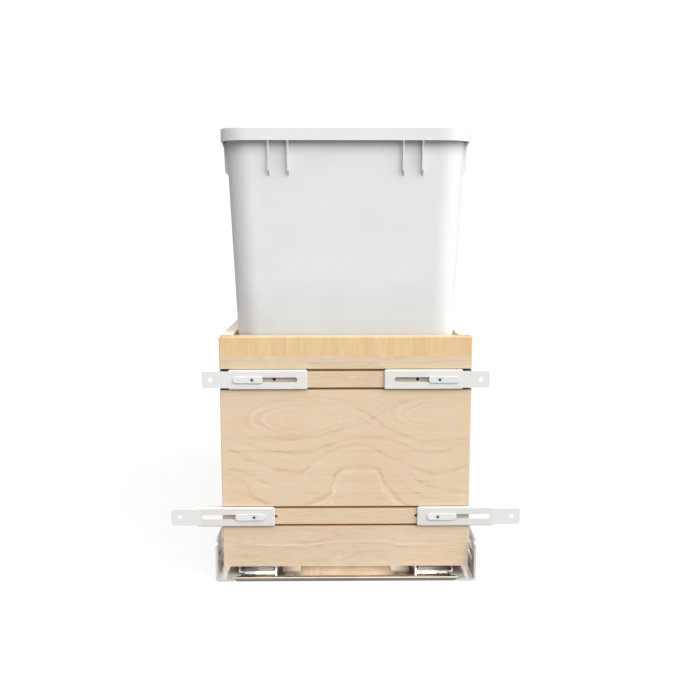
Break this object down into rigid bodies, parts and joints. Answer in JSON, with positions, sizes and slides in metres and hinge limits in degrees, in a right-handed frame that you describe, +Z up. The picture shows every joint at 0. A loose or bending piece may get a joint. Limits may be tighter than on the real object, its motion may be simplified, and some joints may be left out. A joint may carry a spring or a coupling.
{
  "type": "pull-out waste cabinet insert",
  "caption": "Wooden pull-out tray on hidden full-extension slides and a slotted steel base, with a lift-out waste bin and sliding door brackets on the front panel.",
  "frame": {"origin": "middle of the footprint, on the underside of the base", "axes": "+X to the right seen from the front, +Y to the back of the cabinet (the tray pulls out along -Y), +Z up"},
  "size_m": [0.372, 0.56, 0.476],
  "materials": {
    "birch_ply": "clear satin lacquer over birch plywood",
    "maple_cap": "clear satin lacquer over maple edging, upright figure",
    "dowel_wood": "bare beech",
    "bin_plastic": "fine satin moulded white",
    "white_steel": "smooth white powder coat",
    "guide_plastic": "white moulded, slight gloss",
    "zinc_screw": "bright zinc",
    "polished_steel": "polished, bright plated",
    "rivet_steel": "satin steel",
    "slide_steel": "galvanised, bright",
    "retainer_steel": "satin steel",
    "ball_steel": "ground and polished",
    "clip_plastic": "light grey moulded",
    "lever_plastic": "mid grey moulded",
    "damper_plastic": "grey moulded",
    "cylinder_steel": "satin steel"
  },
  "bodies": {
    "base": {"base_left_rail": "polished_steel", "base_right_rail": "polished_steel", "base_front_plate": "polished_steel", "base_rear_plate": "polished_steel", "base_rivets": "rivet_steel", "slide_screws": "zinc_screw", "left_cabinet_member": "slide_steel", "left_damper_housing": "damper_plastic", "left_damper_cylinder": "cylinder_steel", "left_damper_catch": "damper_plastic", "right_cabinet_member": "slide_steel", "right_damper_housing": "damper_plastic", "right_damper_cylinder": "cylinder_steel", "right_damper_catch": "damper_plastic"},
    "tray": {"front_panel": "birch_ply", "left_side_panel": "birch_ply", "right_side_panel": "birch_ply", "back_panel": "birch_ply", "tray_floor": "birch_ply", "divider_panel": "birch_ply", "front_panel_cap": "maple_cap", "corner_dowels": "dowel_wood", "tray_screws": "zinc_screw", "guide_screws": "zinc_screw", "clip_screws": "zinc_screw", "upper_left_guide": "guide_plastic", "upper_right_guide": "guide_plastic", "lower_left_guide": "guide_plastic", "lower_right_guide": "guide_plastic", "left_tray_member": "slide_steel", "left_clip_body": "clip_plastic", "left_striker": "clip_plastic", "right_tray_member": "slide_steel", "right_clip_body": "clip_plastic", "right_striker": "clip_plastic"},
    "bin": {"bin": "bin_plastic"},
    "left_middle": {"left_middle_member": "slide_steel"},
    "left_outer_cage": {"left_outer_retainer": "retainer_steel", "left_outer_balls": "ball_steel"},
    "left_inner_cage": {"left_inner_retainer": "retainer_steel", "left_inner_balls": "ball_steel"},
    "right_middle": {"right_middle_member": "slide_steel"},
    "right_outer_cage": {"right_outer_retainer": "retainer_steel", "right_outer_balls": "ball_steel"},
    "right_inner_cage": {"right_inner_retainer": "retainer_steel", "right_inner_balls": "ball_steel"},
    "upper_left_bracket": {"upper_left_bracket": "white_steel"},
    "upper_right_bracket": {"upper_right_bracket": "white_steel"},
    "lower_left_bracket": {"lower_left_bracket": "white_steel"},
    "lower_right_bracket": {"lower_right_bracket": "white_steel"},
    "left_lever": {"left_clip_lever": "lever_plastic"},
    "right_lever": {"right_clip_lever": "lever_plastic"}
  },
  "joints": [
    {"name": "tray_slide", "type": "slide", "parent": "base", "child": "tray", "axis": [0, -1, 0], "range_m": [0, 0.53]},
    {"name": "left_middle_slide", "type": "slide", "parent": "base", "child": "left_middle", "axis": [0, -1, 0], "range_m": [0, 0.265]},
    {"name": "left_outer_cage_slide", "type": "slide", "parent": "base", "child": "left_outer_cage", "axis": [0, -1, 0], "range_m": [0, 0.1325]},
    {"name": "left_inner_cage_slide", "type": "slide", "parent": "base", "child": "left_inner_cage", "axis": [0, -1, 0], "range_m": [0, 0.3975]},
    {"name": "right_middle_slide", "type": "slide", "parent": "base", "child": "right_middle", "axis": [0, -1, 0], "range_m": [0, 0.265]},
    {"name": "right_outer_cage_slide", "type": "slide", "parent": "base", "child": "right_outer_cage", "axis": [0, -1, 0], "range_m": [0, 0.1325]},
    {"name": "right_inner_cage_slide", "type": "slide", "parent": "base", "child": "right_inner_cage", "axis": [0, -1, 0], "range_m": [0, 0.3975]},
    {"name": "bin_lift", "type": "slide", "parent": "tray", "child": "bin", "axis": [0, 0, 1], "range_m": [0, 0.3]},
    {"name": "upper_left_bracket_slide", "type": "slide", "parent": "tray", "child": "upper_left_bracket", "axis": [-1, 0, 0], "range_m": [0, 0.0358]},
    {"name": "upper_right_bracket_slide", "type": "slide", "parent": "tray", "child": "upper_right_bracket", "axis": [1, 0, 0], "range_m": [0, 0.0358]},
    {"name": "lower_left_bracket_slide", "type": "slide", "parent": "tray", "child": "lower_left_bracket", "axis": [-1, 0, 0], "range_m": [-0.0358, 0]},
    {"name": "lower_right_bracket_slide", "type": "slide", "parent": "tray", "child": "lower_right_bracket", "axis": [1, 0, 0], "range_m": [-0.0358, 0]},
    {"name": "left_lever_hinge", "type": "hinge", "parent": "tray", "child": "left_lever", "pos_m": [-0.061, -0.214, 0.02], "axis": [0, 0, 1], "range_deg": [0, 10], "stiffness_Nm_per_rad": 0.05},
    {"name": "right_lever_hinge", "type": "hinge", "parent": "tray", "child": "right_lever", "pos_m": [0.061, -0.214, 0.02], "axis": [0, 0, -1], "range_deg": [0, 10], "stiffness_Nm_per_rad": 0.05}
  ],
  "couplings": [
    {"joint": "left_middle_slide", "follows": "tray_slide", "ratio": 0.5},
    {"joint": "left_outer_cage_slide", "follows": "tray_slide", "ratio": 0.25},
    {"joint": "left_inner_cage_slide", "follows": "tray_slide", "ratio": 0.75},
    {"joint": "right_middle_slide", "follows": "tray_slide", "ratio": 0.5},
    {"joint": "right_outer_cage_slide", "follows": "tray_slide", "ratio": 0.25},
    {"joint": "right_inner_cage_slide", "follows": "tray_slide", "ratio": 0.75}
  ]
}
